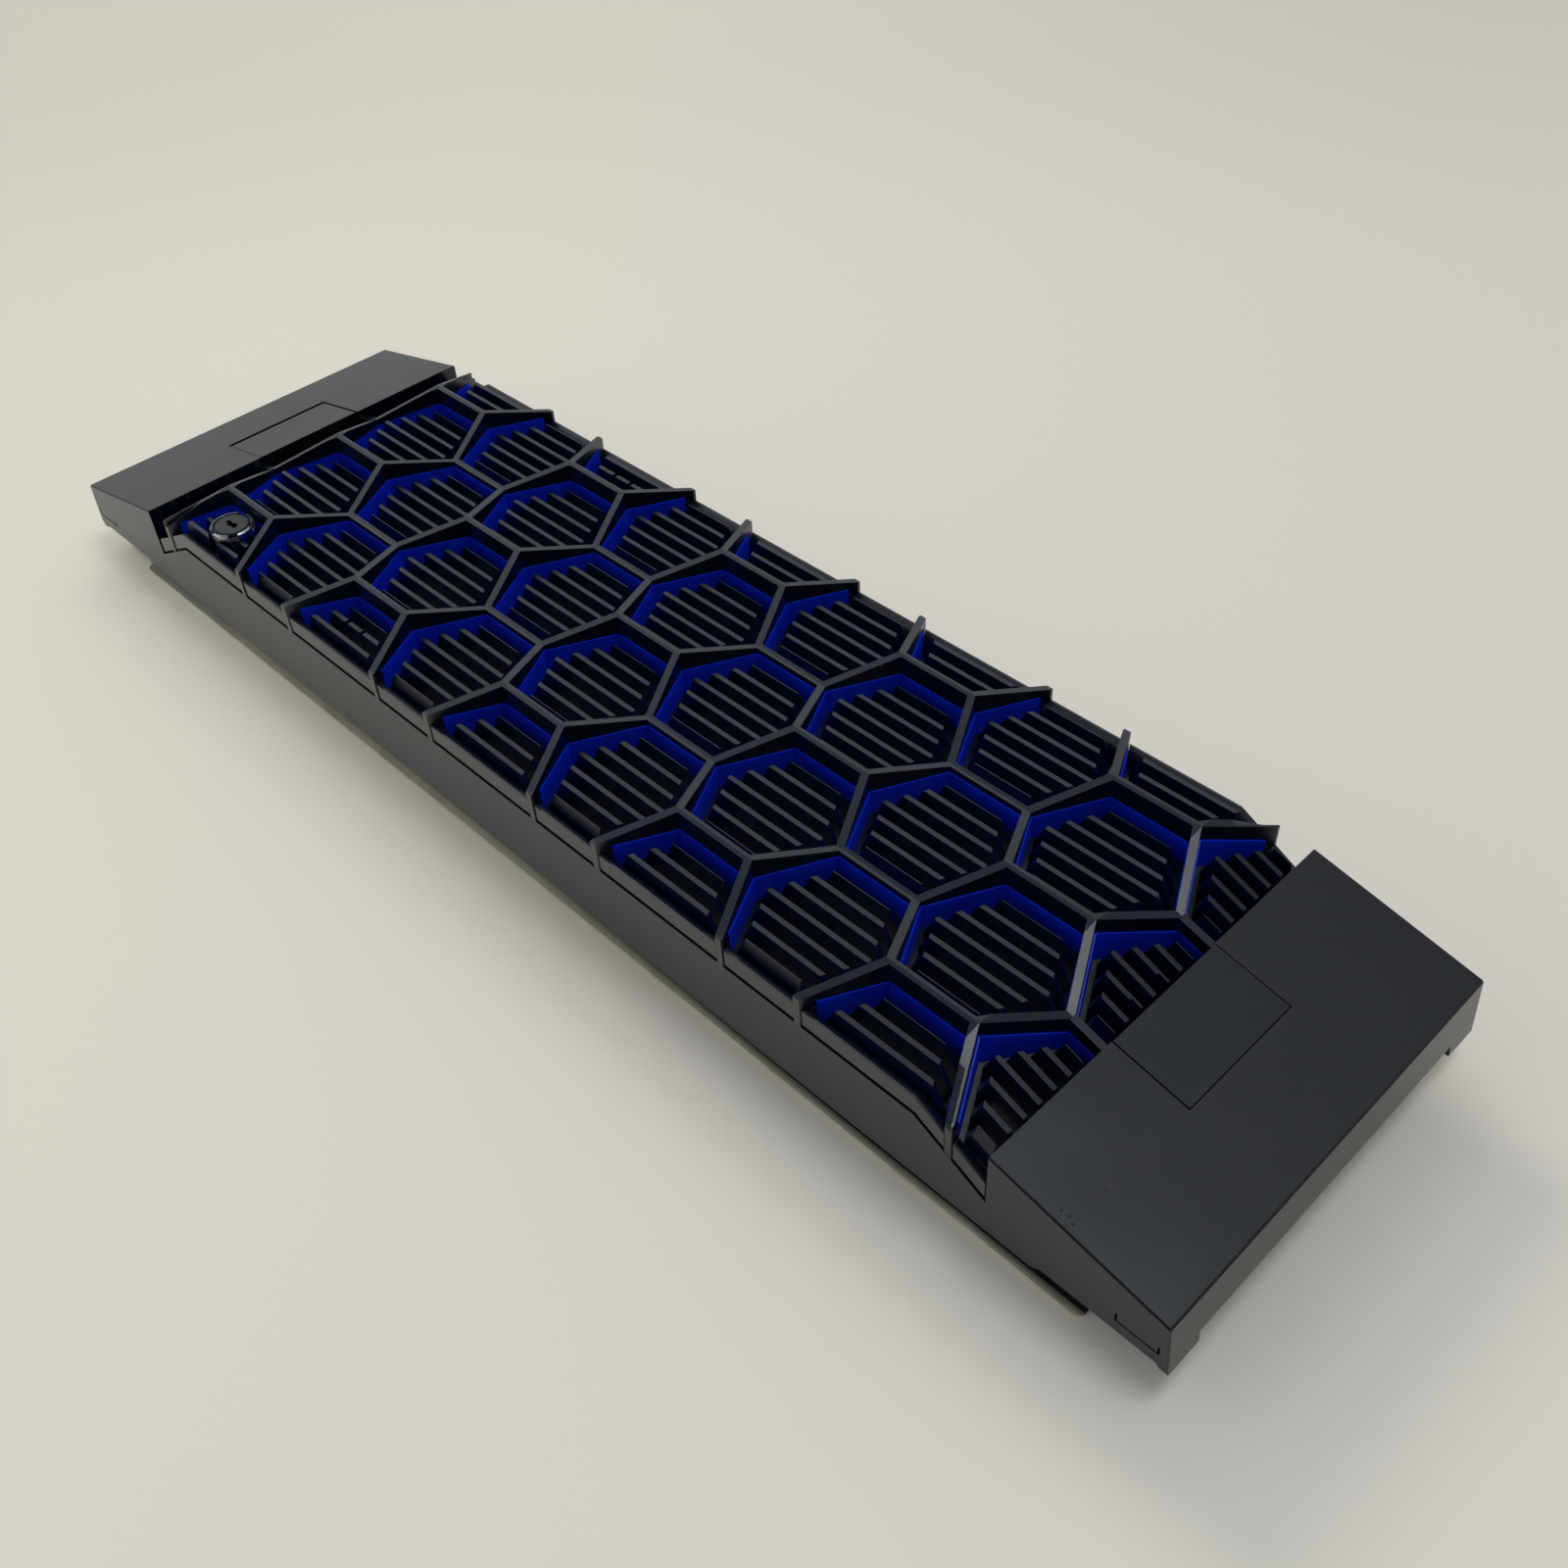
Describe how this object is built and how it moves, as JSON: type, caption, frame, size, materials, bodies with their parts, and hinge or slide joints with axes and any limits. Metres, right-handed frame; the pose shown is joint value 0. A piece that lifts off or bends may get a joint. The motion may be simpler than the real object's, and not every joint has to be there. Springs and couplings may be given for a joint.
{
  "type": "server front bezel",
  "caption": "Long rack-server front bezel with sloping end caps, a raised honeycomb grille over blue-lined louvred cells, a key lock and a push-button latch.",
  "frame": {"origin": "middle of the plane that the steel back rests on", "axes": "+X along the length towards the badge end, +Y up the rack, +Z out of the front"},
  "size_m": [0.485, 0.1316, 0.0484],
  "materials": {
    "frame_black": "fine-textured satin black",
    "liner_blue": "satin deep blue",
    "louvre_black": "fine-textured satin black",
    "badge_slate": "smooth slate black",
    "pan_steel": "bare zinc-plated sheet",
    "screw_steel": "zinc-plated",
    "inner_black": "satin black",
    "lock_chrome": "dark bright plating",
    "plug_grey": "dark satin",
    "button_black": "fine-textured satin black",
    "latch_grey": "smooth dark grey",
    "spring_steel": "bright wire"
  },
  "bodies": {
    "bezel": {"bezel_frame": "frame_black", "accent_liner": "liner_blue", "louvre_panel": "louvre_black", "badge_plate": "badge_slate", "backing_pan": "pan_steel", "backing_screws": "screw_steel", "latch_carrier": "inner_black", "hook_bracket": "inner_black", "carrier_screws": "screw_steel", "lock_housing": "lock_chrome", "lock_clip": "spring_steel", "button_spring_lower": "spring_steel", "button_spring_upper": "spring_steel"},
    "lock": {"lock_plug": "plug_grey", "lock_cam": "pan_steel", "cam_screw": "screw_steel"},
    "button": {"release_button": "button_black"},
    "latch": {"latch_slider": "latch_grey"}
  },
  "joints": [
    {"name": "lock_turn", "type": "hinge", "parent": "bezel", "child": "lock", "pos_m": [-0.1529, -0.0531, 0.03], "axis": [0, 0, 1], "range_deg": [0, 90]},
    {"name": "button_press", "type": "slide", "parent": "bezel", "child": "button", "axis": [0, 0, -1], "range_m": [0, 0.0025], "stiffness_N_per_m": 800, "springref_m": -0.003, "deforming": ["button_spring_lower", "button_spring_upper"]},
    {"name": "latch_slide", "type": "slide", "parent": "bezel", "child": "latch", "axis": [1, 0, 0], "range_m": [0, 0.0025]}
  ],
  "couplings": [
    {"joint": "latch_slide", "follows": "button_press", "ratio": 1}
  ]
}
